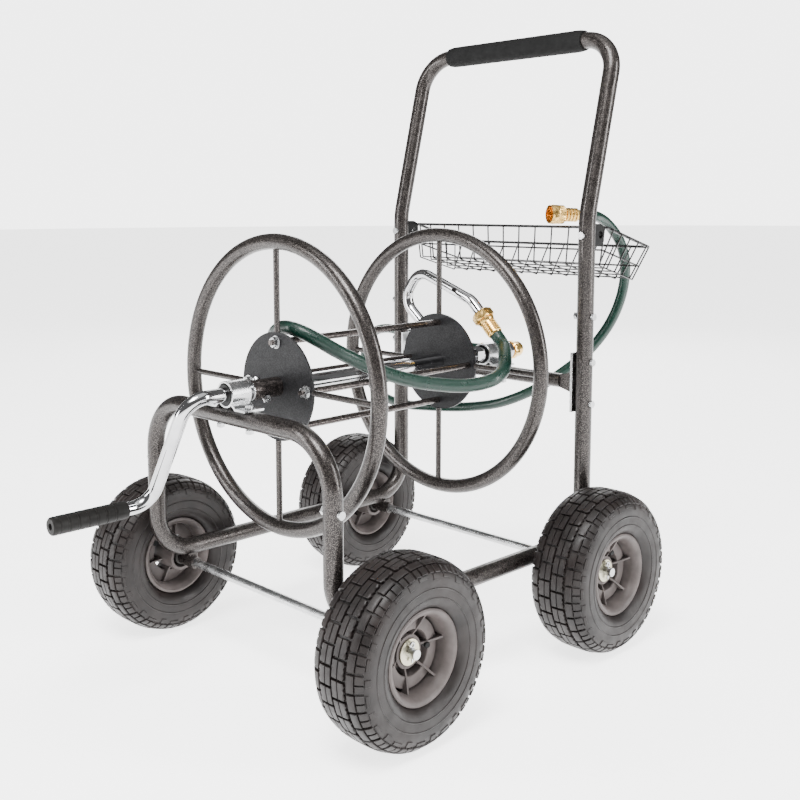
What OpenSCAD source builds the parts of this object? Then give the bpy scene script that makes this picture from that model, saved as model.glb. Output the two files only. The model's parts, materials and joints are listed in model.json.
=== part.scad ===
// Four-wheeled garden hose reel cart: tube frame, open-ring reel with crank,
// water swivel with gooseneck outlet, leader hose and a wire tool basket.
// Axes: -X front (crank), +X rear (handle), -Y left, +Y right, +Z up.
// Origin: on the floor, midway between the four wheels.

/* [Frame] */
// Outer radius of the main frame tube
tube_r = 12.7; // [10:0.1:16]
// Wall of the main frame tube
tube_wall = 1.5; // [1:0.1:2.5]
// Distance between the tube centres of the two sides
frame_w = 390; // [340:5:460]
// Front legs' distance ahead of the origin
front_reach = 264; // [250:1:300]
// Rear posts' distance behind the origin
rear_reach = 256; // [245:1:300]
// Height of the front arch's bar centre
arch_z = 380; // [350:1:390]
// Height of the joint between side frame and arch
arch_seam_z = 272; // [250:1:290]
// Height of the joint between side frame and handle
post_seam_z = 472; // [455:1:500]
// Bend radius of the side frames
rail_bend = 60; // [45:1:80]
// Bend radius of the front arch
arch_bend = 75; // [50:1:90]

/* [Handle] */
// Height where the handle starts to lean back
lean_z = 640; // [632:1:680]
// How far the handle leans back at its bar
lean_reach = 67; // [30:1:120]
// Height of the handle bar's centre
handle_z = 911; // [840:1:980]
// Bend radius at the handle's upper corners
handle_bend = 55; // [40:1:80]
// Radius of the foam grip
foam_r = 17; // [15:0.5:20]
// Length of the foam grip
foam_l = 276; // [200:1:278]

/* [Wheels] */
// Distance between the front and rear axles
wheelbase = 418; // [400:1:440]
// Width over the outside of the tyres
track_outer = 610; // [600:1:700]
// Tyre radius
tyre_r = 120; // [112:1:130]
// Tyre width
tyre_w = 90; // [70:1:96]
// Radius of the rim's lip
rim_r = 58; // [52:0.5:62]
// Radius of the axle rods
axle_r = 6.35; // [5:0.05:8]
// Outer radius of the axle sleeves under the rails
sleeve_r = 9.5; // [8.5:0.1:12]
// Number of ribs in each rim
rim_ribs = 6; // [4:1:8]

/* [Reel] */
// Height of the reel's axis
reel_z = 412; // [408:1:440]
// X position of the front ring
front_ring_x = -189; // [-195:1:-150]
// X position of the rear ring
rear_ring_x = 141; // [110:1:145]
// Centreline radius of the rings
ring_r = 200; // [180:1:205]
// Tube radius of the rings
ring_tube_r = 11; // [8:0.5:12.5]
// Spoke radius
spoke_r = 4.25; // [3:0.25:5]
// Disc radius
disc_r = 76; // [74:1:90]
// Disc thickness
disc_t = 3; // [2:0.5:5]
// Radius of the tie rods
tie_r = 5; // [4:0.25:6]
// Distance of the tie rods from the axis
tie_offset = 62; // [50:1:64]
// Radius of the core tube
core_r = 12; // [10:0.5:14]

/* [Crank] */
// Radius of the crank rod and of the rear journal
shaft_r = 9.5; // [8:0.1:10]
// Swing radius of the crank's grip
crank_throw = 172; // [120:1:190]
// Angle of the crank arm from straight down
crank_angle = 28; // [0:1:40]
// Bend radius of the crank rod
crank_bend = 30; // [26:1:40]
// Length of the grip
grip_l = 110; // [90:1:130]
// Radius of the grip
grip_r = 12.5; // [11.5:0.25:16]

/* [Basket] */
// Basket length across the cart
basket_w = 408; // [300:1:420]
// Basket depth, front to back
basket_d = 131; // [90:1:150]
// Basket height
basket_h = 70; // [50:1:90]
// Backward tilt of the basket in degrees
basket_tilt = 16; // [0:1:20]
// How much the basket narrows towards its floor, each side
basket_taper = 10; // [4:1:16]

/* [Hoses] */
// Radius of the leader hose
leader_r = 8.5; // [7:0.25:9.5]
// Radius of the drum hose
drum_hose_r = 10; // [8:0.25:10.5]
// Radius of the hose thread's female wall
thread_r = 13.2; // [12:0.1:14]

/* [Hidden] */
$fn = 64;

// Clearances
run_gap = 0.05; // shaft in a bush that turns
part_gap = 0.3; // pieces of different bodies that only pass each other
seat_gap = 0.1; // pieces that sit on or in each other
collar_l = 1;
collar_t = 0.05;

// Frame
side_y = frame_w / 2;
front_x = -front_reach;
rear_x = rear_reach;
axle_z = tyre_r;
rail_z = axle_z + sleeve_r + tube_r;
spigot_l = 30;
spigot_r = tube_r - tube_wall - seat_gap;
seam_bolt_rise = 17; // seam bolts above the seam
bolt_r = 3;
bolt_hole_r = bolt_r + seat_gap;
bolt_head_r = 5.5;
bolt_head_h = 3.5;
nut_r = 5.8;
nut_h = 5;
lean_bend = 120;

// Rear crossbar, its brackets and the bearings
bar_r = 11;
bar_x = rear_x + 6;
bar_z = reel_z - 28;
plate_t = 4;
plate_w = 26;
plate_h = 92;
plate_y = side_y - tube_r - plate_t;
plate_z = bar_z + 3;
plate_bolt_dz = 32;
bar_end_h = 38;
bar_end_t = 7;
bush_outer_r = 15;
strap_t = 3;
strap_w = 32;
strap_foot = 25;
screw_y = bush_outer_r + strap_t + 14;

// Axles and wheels
axle_x = wheelbase / 2;
wheel_y = (track_outer - tyre_w) / 2;
sleeve_l = 36;
hub_in = side_y + sleeve_l / 2 + 2;
hub_out = wheel_y + 10;
washer_t = 2;
washer_r = 20.5;
axle_end = hub_out + washer_t + 12;
pin_r = 1.6;
hub_r = 17;
bush_r = 11;
bush_l = 16;
bead_r = rim_r - 3;
barrel_t = 4;
web_t = 4;

// Reel
front_face_x = front_ring_x + disc_t / 2;
rear_face_x = rear_ring_x - disc_t / 2;
tie_pin_r = 4;
tie_nut_r = 7.5;
tie_nut_h = 6;
tie_washer_r = 9;
hub_tube_r = 14;
hub_tube_l = 47;
hub_end_x = front_ring_x - disc_t / 2 - hub_tube_l;
crank_bolt_x = front_ring_x - 29;

// Crank: the arm lies in a plane through the reel's axis
crank_x = front_x - 84;
crank_out = [0, sin(crank_angle), -cos(crank_angle)];
grip_start = 38; // grip's inner end ahead of the arm
grip_axis = [crank_x, 0, reel_z] + crank_throw * crank_out;
grip_pin_r = 6;
grip_x = grip_axis[0] - grip_start;
grip_recess = 9;

// Swivel
rotor_x = rear_ring_x + 11;
rotor_r = 14;
rotor_l = 36;
goose_x = rotor_x + 18;
goose_r = 8.5;
rear_nut_x = bar_x - strap_w / 2 - 24;
swivel_x = bar_x + strap_w / 2 + 3;
swivel_l = 34;
inlet_x = swivel_x + 17;
inlet_l = 46;
goose_rise = 40; // angle of its first run above level
goose_bends = [0, 30, 30, 40, 0];
// Corners of the gooseneck, across and above the reel's axis
goose_corners = [
    14 * [cos(goose_rise), sin(goose_rise)], 138 * [cos(goose_rise), sin(goose_rise)],
    [70, 140], [-42, 98], [-61, 79]
];
goose_route = [for (c = goose_corners) [goose_x, c[0], reel_z + c[1]]];
goose_end = goose_route[4];
goose_dir = unit(goose_route[4] - goose_route[3]);
outlet_dir = [0, cos(goose_rise), sin(goose_rise)];
nut_len = 20;
ferrule_len = 24;

// Basket, in its own tilted frame: x back, y across, z up from the rim
basket_x = rear_x + 43;
basket_z = 626;
basket_wall = 1.6;
clip_z = basket_z - 14;
clip_t = 10;

// Routes of the two hoses: centreline points from fitting to fitting
drum_route = [
    [170, -92, 460], [170, -100, 452], [165, -110, 445], [155, -121, 440], [141, -133, 434],
    [124, -147, 425],
    [106, -156, 416], [84, -158, 408], [60, -149, 403], [36, -136, 402], [10, -120, 405],
    [-16, -105, 410], [-42, -90, 418], [-70, -75, 430], [-98, -61, 445], [-124, -50, 460],
    [-146, -35, 476], [-160, -13, 488], [-164, 14, 491], [-158, 40, 483], [-146, 62, 470],
    [-132, 82, 457]
];
leader_route = [
    [298, 46, 412], [298, 80, 412], [298, 120, 413], [298, 160, 416], [298, 200, 420],
    [299, 240, 425], [301, 275, 427], [303, 310, 418], [306, 335, 392], [309, 345, 357],
    [312, 335, 322], [315, 310, 297], [318, 275, 286], [320, 235, 284], [322, 195, 287],
    [324, 155, 291], [327, 115, 296], [331, 75, 303], [336, 35, 313], [345, -5, 330],
    [357, -42, 352], [374, -72, 377], [395, -98, 405], [415, -116, 435], [432, -128, 467],
    [443, -136, 502], [447, -140, 536], [444, -141, 565], [434, -139, 592], [417, -137, 612],
    [396, -136, 627], [372, -138, 636], [348, -140, 640], [325, -128, 641]
];

// Colours
hammertone = [0.27, 0.25, 0.25];
charcoal = [0.17, 0.17, 0.18];
zinc = [0.78, 0.79, 0.8];
chrome = [0.85, 0.86, 0.88];
brass = [0.8, 0.6, 0.25];
hose_green = [0.03, 0.25, 0.18];
black = [0.09, 0.09, 0.09];
rubber = [0.13, 0.12, 0.12];
rim_grey = [0.45, 0.43, 0.43];

// ---- Helpers ----

function unit(v) = v / norm(v);
function across(v) = abs(v[2]) < 0.9 ? unit(cross(v, [0, 0, 1])) : unit(cross(v, [0, 1, 0]));

// Puts local +Z along direction d at point p, with local +X along x
module frame_at(p, d, x) {
    y = cross(d, x);
    multmatrix([[x[0], y[0], d[0], p[0]], [x[1], y[1], d[1], p[1]], [x[2], y[2], d[2], p[2]]])
        children();
}

module at(p, d) {
    frame_at(p, unit(d), across(unit(d))) children();
}

module rod(a, b, r) {
    at(a, b - a) cylinder(h = norm(b - a), r = r);
}

// Tube section, solid when ri is 0
module section(r, ri) {
    difference() {
        circle(r = r);
        if (ri > 0) circle(r = ri);
    }
}

// Length that a bend of radius bend takes from each leg at corner i
function trim(p, bend, i) =
    i == 0 || i == len(p) - 1 ? 0
    : bend[i] * tan(acos(unit(p[i] - p[i - 1]) * unit(p[i + 1] - p[i])) / 2);

// Straight runs joined by round bends; bend lists one radius a point, 0 at both ends.
// A fine collar seals each joint between a run and a bend.
module pipe(p, bend, r, ri = 0) {
    for (i = [0 : len(p) - 2]) {
        d = unit(p[i + 1] - p[i]);
        a = p[i] + d * trim(p, bend, i);
        b = p[i + 1] - d * trim(p, bend, i + 1);
        at(a, d) linear_extrude(norm(b - a)) section(r, ri);
        if (i > 0) at(a - d * collar_l / 2, d)
            linear_extrude(collar_l) section(r + collar_t, max(ri - collar_t, 0));
        if (i < len(p) - 2) at(b - d * collar_l / 2, d)
            linear_extrude(collar_l) section(r + collar_t, max(ri - collar_t, 0));
    }
    for (i = [1 : len(p) - 2]) {
        d0 = unit(p[i] - p[i - 1]);
        d1 = unit(p[i + 1] - p[i]);
        inward = unit(d1 - d0 * (d0 * d1));
        centre = p[i] - d0 * trim(p, bend, i) + inward * bend[i];
        frame_at(centre, cross(-inward, d0), -inward)
            rotate_extrude(angle = acos(d0 * d1)) translate([bend[i], 0]) section(r, ri);
    }
}

// Direction of travel at point i of a route
function heading(p, i) =
    i == 0 ? unit(p[1] - p[0])
    : i == len(p) - 1 ? unit(p[i] - p[i - 1])
    : unit(unit(p[i + 1] - p[i]) + unit(p[i] - p[i - 1]));

// Side vectors carried along a route without twisting
function carried(v, t) = unit(v - t * (v * t));
function sides_along(p, i = 0, v = undef) =
    let (n = carried(i == 0 ? across(heading(p, 0)) : v, heading(p, i)))
    i == len(p) - 1 ? [n] : concat([n], sides_along(p, i + 1, n));

// Hose swept along a route, one ring a point
module hose(p, r, n = 10) {
    side = sides_along(p);
    rings = [
        for (i = [0 : len(p) - 1], k = [0 : n - 1])
            let (t = heading(p, i), u = side[i], v = cross(t, u), a = 360 * k / n)
                p[i] + r * (cos(a) * u + sin(a) * v)
    ];
    walls = [
        for (i = [0 : len(p) - 2], k = [0 : n - 1])
            let (j = (k + 1) % n)
                [i * n + k, (i + 1) * n + k, (i + 1) * n + j, i * n + j]
    ];
    first = [for (k = [0 : n - 1]) k];
    last = [for (k = [n - 1 : -1 : 0]) (len(p) - 1) * n + k];
    polyhedron(rings, concat(walls, [first, last]), convexity = 8);
}

// Bolt along d with its head's underside at p, a plain nut at the far end of grip length l
module bolt(p, d, l) {
    at(p, d) {
        translate([0, 0, -bolt_head_h]) cylinder(h = bolt_head_h, r = bolt_head_r);
        cylinder(h = l + nut_h + 1, r = bolt_r);
        translate([0, 0, l]) cylinder(h = nut_h, r = nut_r, $fn = 6);
    }
}

// Clearance hole through everything at a seam, along Y
module seam_hole(x, y, z) {
    translate([x, y, z]) rotate([90, 0, 0])
        cylinder(h = 2 * tube_r + 2, r = bolt_hole_r, center = true);
}

module both_sides() {
    for (m = [0, 1]) mirror([0, m, 0]) children();
}

// ---- Frame ----

module front_arch() {
    color(hammertone) difference() {
        pipe([
            [front_x, -side_y, arch_seam_z], [front_x, -side_y, arch_z],
            [front_x, side_y, arch_z], [front_x, side_y, arch_seam_z]
        ], [0, arch_bend, arch_bend, 0], tube_r, tube_r - tube_wall);
        for (s = [-1, 1]) {
            seam_hole(front_x, s * side_y, arch_seam_z + seam_bolt_rise);
            translate([front_x, s * screw_y, arch_z])
                cylinder(h = 2 * tube_r + 2, r = bolt_hole_r, center = true);
        }
    }
}

// One bent tube: front leg, rail over the axles and rear post, with a spigot at each end
module side_frame(s) {
    y = s * side_y;
    color(hammertone) difference() {
        union() {
            pipe([
                [front_x, y, arch_seam_z], [front_x, y, rail_z],
                [rear_x, y, rail_z], [rear_x, y, post_seam_z]
            ], [0, rail_bend, rail_bend, 0], tube_r, tube_r - tube_wall);
            spigot(front_x, y, arch_seam_z);
            spigot(rear_x, y, post_seam_z);
        }
        seam_hole(front_x, y, arch_seam_z + seam_bolt_rise);
        seam_hole(rear_x, y, post_seam_z + seam_bolt_rise);
        for (dz = [-1, 1]) seam_hole(rear_x, y, plate_z + dz * plate_bolt_dz);
    }
}

// Reduced end that the upper tube slides over
module spigot(x, y, z) {
    translate([x, y, z - 8]) linear_extrude(8) section(tube_r - tube_wall / 2, spigot_r - tube_wall);
    translate([x, y, z]) linear_extrude(spigot_l) section(spigot_r, spigot_r - tube_wall);
}

module handle_tube() {
    top_x = rear_x + lean_reach;
    color(hammertone) difference() {
        pipe([
            [rear_x, -side_y, post_seam_z], [rear_x, -side_y, lean_z],
            [top_x, -side_y, handle_z], [top_x, side_y, handle_z],
            [rear_x, side_y, lean_z], [rear_x, side_y, post_seam_z]
        ], [0, lean_bend, handle_bend, handle_bend, lean_bend, 0], tube_r, tube_r - tube_wall);
        for (s = [-1, 1]) {
            seam_hole(rear_x, s * side_y, post_seam_z + seam_bolt_rise);
            translate([rear_x, s * side_y, clip_z]) rotate([0, 90, 0])
                cylinder(h = 2 * tube_r + 2, r = bolt_hole_r, center = true);
        }
    }
}

module handle_grip() {
    color(black) translate([rear_x + lean_reach, 0, handle_z]) rotate([90, 0, 0])
        difference() {
            cylinder(h = foam_l, r = foam_r, center = true);
            cylinder(h = foam_l + 2, r = tube_r + seat_gap / 2, center = true);
        }
}

module seam_bolts(x, z) {
    color(zinc) for (s = [-1, 1])
        bolt([x, s * (side_y + tube_r + 0.5), z + seam_bolt_rise], [0, -s, 0], 2 * tube_r + 1);
}

module arch_bolts() { seam_bolts(front_x, arch_seam_z); }
module handle_bolts() { seam_bolts(rear_x, post_seam_z); }

// Round bar whose ends are pressed flat and stand upright
module rear_crossbar() {
    inner = plate_y - seat_gap;
    start = inner - 36;
    core = 0.64 * bar_r; // half side of the square that the round bar holds
    color(hammertone) difference() {
        union() {
            translate([bar_x, 0, bar_z]) rotate([90, 0, 0])
                cylinder(h = 2 * (start + 8), r = bar_r, center = true);
            both_sides() translate([bar_x, 0, bar_z]) intersection() {
                linear_extrude(2 * bar_end_h, center = true) polygon([
                    [-core, start], [core, start], [bar_end_t / 2, inner - 12],
                    [bar_end_t / 2, inner], [-bar_end_t / 2, inner], [-bar_end_t / 2, inner - 12]
                ]);
                rotate([90, 0, 90]) linear_extrude(3 * bar_r, center = true) polygon([
                    [start, -core], [start, core], [inner, bar_end_h / 2], [inner, -bar_end_h / 2]
                ]);
            }
        }
        for (s = [-1, 1]) translate([bar_x, s * screw_y, bar_z])
            cylinder(h = 2 * bar_r + 2, r = bolt_hole_r, center = true);
    }
}

module crossbar_brackets() {
    color(hammertone) both_sides() difference() {
        translate([rear_x - plate_w / 2, plate_y, plate_z - plate_h / 2])
            cube([plate_w, plate_t - seat_gap, plate_h]);
        for (dz = [-1, 1]) translate([rear_x, plate_y, plate_z + dz * plate_bolt_dz])
            rotate([90, 0, 0]) cylinder(h = 4 * plate_t, r = bolt_hole_r, center = true);
    }
}

module bracket_bolts() {
    color(zinc) for (s = [-1, 1], dz = [-1, 1])
        bolt([rear_x, s * (side_y + tube_r + 0.5), plate_z + dz * plate_bolt_dz], [0, -s, 0],
             2 * tube_r + plate_t + 1);
}

// ---- Axles ----

module axle_sleeves() {
    color(hammertone) for (x = [-axle_x, axle_x]) both_sides()
        difference() {
            union() {
                translate([x, side_y + sleeve_l / 2, axle_z]) rotate([90, 0, 0])
                    cylinder(h = sleeve_l, r = sleeve_r);
                translate([x - sleeve_r + 1, side_y - 10, axle_z])
                    cube([2 * sleeve_r - 2, 20, sleeve_r + 5]);
            }
            translate([x, side_y, rail_z]) rotate([0, 90, 0])
                cylinder(h = 4 * sleeve_r, r = tube_r + seat_gap / 2, center = true);
            translate([x, side_y, axle_z]) rotate([90, 0, 0])
                cylinder(h = sleeve_l + 2, r = axle_r + seat_gap / 2, center = true);
        }
}

module axle(x) {
    color(zinc) difference() {
        translate([x, 0, axle_z]) rotate([90, 0, 0]) cylinder(h = 2 * axle_end, r = axle_r, center = true);
        for (s = [-1, 1]) translate([x, s * (hub_out + washer_t + 4), axle_z])
            cylinder(h = 3 * axle_r, r = pin_r + seat_gap / 2, center = true);
    }
}

module axle_washers() {
    color(zinc) for (x = [-axle_x, axle_x]) both_sides()
        translate([x, hub_out + washer_t + part_gap, axle_z]) rotate([90, 0, 0]) difference() {
            cylinder(h = washer_t, r = washer_r - 4);
            translate([0, 0, -1]) cylinder(h = washer_t + 2, r = axle_r + seat_gap);
        }
}

// Cotter pins with a round eye on top
module cotter_pins() {
    color(zinc) for (x = [-axle_x, axle_x], s = [-1, 1])
        translate([x, s * (hub_out + washer_t + 4), axle_z]) {
            translate([0, 0, -axle_r - 5]) cylinder(h = 2 * axle_r + 7, r = pin_r);
            translate([0, 0, axle_r + 4]) rotate([90, 0, 0])
                rotate_extrude() translate([3, 0]) circle(r = pin_r);
        }
}

// ---- Bearings ----

// Strap bent over a bush, with feet on the bar that carries it
module bearing_strap(x, carrier_z, carrier_r) {
    foot_z = carrier_z + carrier_r - 3;
    outer = bush_outer_r + strap_t;
    color(zinc) translate([x - strap_w / 2, 0, 0]) rotate([90, 0, 90]) difference() {
        linear_extrude(strap_w) difference() {
            union() {
                translate([0, reel_z]) circle(r = outer);
                translate([-outer, foot_z]) square([2 * outer, reel_z - foot_z]);
                translate([-outer - strap_foot, foot_z]) square([2 * (outer + strap_foot), 3 + strap_t]);
            }
            translate([0, reel_z]) circle(r = bush_outer_r + seat_gap / 2);
            translate([-bush_outer_r - seat_gap / 2, foot_z - 1])
                square([2 * bush_outer_r + seat_gap, reel_z - foot_z + 1]);
        }
        translate([0, carrier_z, strap_w / 2]) rotate([0, 90, 0])
            cylinder(h = 200, r = carrier_r + seat_gap / 2, center = true);
        for (s = [-1, 1]) translate([s * screw_y, foot_z, strap_w / 2]) rotate([90, 0, 0])
            cylinder(h = 20, r = bolt_hole_r, center = true);
    }
}

module bearing_bush(x, carrier_z, carrier_r) {
    foot_z = carrier_z + carrier_r - 3;
    color(black) translate([x - strap_w / 2 - 1, 0, 0]) rotate([90, 0, 90]) difference() {
        linear_extrude(strap_w + 2) difference() {
            union() {
                translate([0, reel_z]) circle(r = bush_outer_r);
                translate([-bush_outer_r, foot_z]) square([2 * bush_outer_r, reel_z - foot_z]);
            }
            translate([0, reel_z]) circle(r = shaft_r + run_gap);
        }
        translate([0, carrier_z, strap_w / 2 + 1]) rotate([0, 90, 0])
            cylinder(h = 200, r = carrier_r + seat_gap / 2, center = true);
    }
}

module front_bearing_strap() { bearing_strap(front_x, arch_z, tube_r); }
module front_bearing_bush() { bearing_bush(front_x, arch_z, tube_r); }
module rear_bearing_strap() { bearing_strap(bar_x, bar_z, bar_r); }
module rear_bearing_bush() { bearing_bush(bar_x, bar_z, bar_r); }

module strap_screws() {
    color(zinc) for (s = [-1, 1]) {
        bolt([front_x, s * screw_y, arch_z + tube_r + strap_t], [0, 0, -1], 2 * tube_r + strap_t + 0.5);
        bolt([bar_x, s * screw_y, bar_z + bar_r + strap_t], [0, 0, -1], 2 * bar_r + strap_t + 0.5);
    }
}

// ---- Basket ----

module basket_frame() {
    translate([basket_x, 0, basket_z]) rotate([0, basket_tilt, 0]) children();
}

// Block that narrows towards its floor; grow is added on every side
module basket_block(grow, depth) {
    t = basket_taper;
    top_d = basket_d + 2 * grow;
    top_w = basket_w + 2 * grow;
    translate([basket_d / 2, 0, 0])
        intersection() {
            rotate([90, 0, 0]) linear_extrude(top_w + 2, center = true)
                polygon([[-top_d / 2, 1], [-top_d / 2, 0], [-top_d / 2 + t, -depth],
                         [top_d / 2 - t, -depth], [top_d / 2, 0], [top_d / 2, 1]]);
            rotate([90, 0, 90]) linear_extrude(top_d + 2, center = true)
                polygon([[-top_w / 2, 1], [-top_w / 2, 0], [-top_w / 2 + t, -depth],
                         [top_w / 2 - t, -depth], [top_w / 2, 0], [top_w / 2, 1]]);
        }
}

// Open tray with a rolled rim
module basket() {
    color(black) basket_frame() difference() {
        basket_block(0, basket_h);
        basket_block(-basket_wall, basket_h - basket_wall);
        translate([-50, -basket_w, 0]) cube([basket_d + 100, 2 * basket_w, 5]);
    }
}

// Plastic ears behind the posts, cut to the slope of the basket that hooks over them
module basket_clips() {
    post_back = rear_x + tube_r;
    far = basket_x - 5;
    round_r = 14;
    ear_h = 34;
    color(black) difference() {
        for (s = [-1, 1]) translate([0, s * side_y, clip_z]) difference() {
            rotate([90, 0, 0]) linear_extrude(clip_t, center = true) union() {
                translate([rear_x, -ear_h / 2]) square([far - rear_x - round_r, ear_h]);
                translate([far - round_r, 0]) intersection() {
                    circle(r = ear_h / 2);
                    translate([-1, -ear_h / 2]) square([round_r + 1, ear_h]);
                }
            }
            translate([rear_x, 0, 0]) cylinder(h = 60, r = tube_r + seat_gap / 2, center = true);
            translate([post_back + 16, 0, 0]) rotate([90, 0, 0])
                cylinder(h = clip_t + 2, r = 5.5, center = true);
            translate([post_back, 0, 0]) rotate([0, 90, 0])
                cylinder(h = 30, r = bolt_hole_r, center = true);
        }
        basket_frame() basket_block(seat_gap, basket_h);
    }
}

module basket_bolts() {
    head_x = rear_x - tube_r - 0.5;
    color(zinc) for (s = [-1, 1]) translate([head_x, s * side_y, clip_z]) rotate([0, 90, 0]) {
        translate([0, 0, -bolt_head_h]) cylinder(h = bolt_head_h, r = bolt_head_r);
        cylinder(h = 2 * tube_r + 10, r = bolt_r);
    }
}

// ---- Reel ----

module ring_with_spokes(x) {
    color(hammertone) translate([x, 0, reel_z]) rotate([0, 90, 0]) {
        rotate_extrude() translate([ring_r, 0]) circle(r = ring_tube_r);
        for (a = [0 : 90 : 270]) difference() {
            rotate([0, 90, a]) cylinder(h = ring_r - 2, r = spoke_r);
            cylinder(h = 30, r = disc_r + seat_gap / 2, center = true);
        }
    }
}

module reel_disc(x) {
    color(charcoal) translate([x, 0, reel_z]) rotate([0, 90, 0]) difference() {
        cylinder(h = disc_t, r = disc_r, center = true);
        cylinder(h = disc_t + 2, r = shaft_r + seat_gap, center = true);
        for (a = [0 : 90 : 270]) rotate([0, 0, a]) translate([tie_offset, 0, 0])
            cylinder(h = disc_t + 2, r = tie_pin_r + seat_gap, center = true);
    }
}

module front_ring() { ring_with_spokes(front_ring_x); }
module rear_ring() { ring_with_spokes(rear_ring_x); }
module front_disc() { reel_disc(front_ring_x); }
module rear_disc() { reel_disc(rear_ring_x); }

module core_tube() {
    span = rear_face_x - front_face_x;
    color(chrome) translate([front_face_x, 0, reel_z]) rotate([0, 90, 0])
        linear_extrude(span) section(core_r, shaft_r + seat_gap);
}

// Rods with a stepped thread at each end
module tie_rods() {
    span = rear_face_x - front_face_x;
    reach = disc_t + tie_nut_h + 5;
    color(hammertone) for (a = [0 : 90 : 270])
        translate([front_face_x, 0, reel_z]) rotate([0, 90, 0]) rotate([0, 0, a])
            translate([tie_offset, 0, 0]) {
                cylinder(h = span, r = tie_r);
                translate([0, 0, -reach]) cylinder(h = span + 2 * reach, r = tie_pin_r);
            }
}

module tie_rod_nuts() {
    color(zinc) for (x = [front_ring_x - disc_t / 2, rear_ring_x + disc_t / 2], a = [0 : 90 : 270])
        translate([x, 0, reel_z]) rotate([0, x < 0 ? -90 : 90, 0]) rotate([0, 0, a])
            translate([tie_offset, 0, 0]) difference() {
                union() {
                    cylinder(h = 1.5, r = tie_washer_r);
                    cylinder(h = 1.5 + tie_nut_h, r = tie_nut_r, $fn = 6);
                }
                cylinder(h = 30, r = tie_pin_r + 0.02, center = true);
            }
}

module hub_tube() {
    color(hammertone) difference() {
        translate([hub_end_x, 0, reel_z]) rotate([0, 90, 0])
            linear_extrude(hub_tube_l) section(hub_tube_r, shaft_r + seat_gap);
        crank_bolt_hole();
    }
}

module crank_bolt_hole() {
    translate([crank_bolt_x, 0, reel_z]) rotate([-45, 0, 0])
        cylinder(h = 4 * hub_tube_r, r = bolt_hole_r, center = true);
}

// Bent rod: shaft through the bearing, arm, and a thinner pin for the grip
module crank_arm() {
    shaft_end = front_ring_x + 10;
    grip_root = [grip_x, grip_axis[1], grip_axis[2]];
    color(chrome) difference() {
        union() {
            pipe([[shaft_end, 0, reel_z], [crank_x + 8, 0, reel_z], grip_axis, grip_root],
                 [0, crank_bend, crank_bend, 0], shaft_r);
            rod(grip_root + [5, 0, 0], grip_root - [grip_l - grip_recess, 0, 0], grip_pin_r);
        }
        crank_bolt_hole();
    }
}

module crank_bolt() {
    reach = hub_tube_r + 0.5;
    up = unit([0, 1, 1]);
    color(zinc) bolt([crank_bolt_x, 0, reel_z] + reach * up, -up, 2 * reach);
}

module snap_ring() {
    color(zinc) translate([hub_end_x - 2.5, 0, reel_z]) rotate([0, 90, 0])
        linear_extrude(2) difference() {
            circle(r = shaft_r + 4);
            circle(r = shaft_r + seat_gap / 2);
            translate([-2, 0]) square([4, 40]);
        }
}

module crank_grip() {
    color(black) translate([grip_x - part_gap, grip_axis[1], grip_axis[2]]) rotate([0, -90, 0])
        difference() {
            union() {
                cylinder(h = grip_l, r = grip_r - 1.5);
                for (i = [0 : 9]) translate([0, 0, 6 + i * 9.5]) cylinder(h = 5.5, r = grip_r);
            }
            translate([0, 0, -1]) cylinder(h = grip_l + 2, r = grip_pin_r + run_gap);
            translate([0, 0, grip_l - grip_recess - 2 * part_gap])
                cylinder(h = 2 * grip_recess, r = grip_r - 4);
        }
}

// Screw and washer that hold the grip on its pin
module grip_screw() {
    color(zinc) translate([grip_x - grip_l + grip_recess, grip_axis[1], grip_axis[2]])
        rotate([0, -90, 0]) {
            cylinder(h = 1.5, r = grip_r - 4.5);
            cylinder(h = 5, r = 4, $fn = 6);
        }
}

// ---- Swivel and outlet ----

// Turning half: body with the outlet socket, and the hollow journal in the rear bearing
module swivel_rotor() {
    color(chrome) difference() {
        union() {
            translate([rotor_x, 0, reel_z]) rotate([0, 90, 0]) cylinder(h = rotor_l, r = rotor_r);
            translate([rear_face_x + disc_t, 0, reel_z]) rotate([0, 90, 0])
                cylinder(h = rotor_x - rear_face_x - disc_t + 1, r = rotor_r + 4);
            translate([rotor_x + rotor_l - 1, 0, reel_z]) rotate([0, 90, 0])
                cylinder(h = swivel_x + 12 - rotor_x - rotor_l, r = shaft_r);
            at([goose_x, 0, reel_z], outlet_dir) cylinder(h = rotor_r + 8, r = goose_r + 3);
        }
        at(goose_route[0], outlet_dir) cylinder(h = 20, r = goose_r + seat_gap / 2);
    }
}

module swivel_nut() {
    color(chrome) translate([rear_nut_x, 0, reel_z]) rotate([0, 90, 0]) difference() {
        union() {
            cylinder(h = 16, r = 15, $fn = 6);
            cylinder(h = 20, r = 12.5);
        }
        translate([0, 0, -1]) cylinder(h = 30, r = shaft_r + seat_gap / 2);
    }
}

module gooseneck() {
    color(chrome) pipe(goose_route, goose_bends, goose_r, goose_r - 1.5);
}

module outlet_nut() {
    color(brass) at(goose_end + goose_dir * seat_gap, goose_dir) difference() {
        union() {
            cylinder(h = 12, r = 15, $fn = 6);
            cylinder(h = nut_len, r = 13);
        }
        translate([0, 0, -1]) cylinder(h = 3, r = goose_r);
    }
}

module outlet_ferrule() {
    start = goose_end + goose_dir * (nut_len + 2 * seat_gap);
    reach = drum_route[0] - start;
    color(brass) at(start, reach) cylinder(h = norm(reach), r = drum_hose_r + 2);
}

module drum_hose() {
    color(hose_green) hose(drum_route, drum_hose_r);
}

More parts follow.
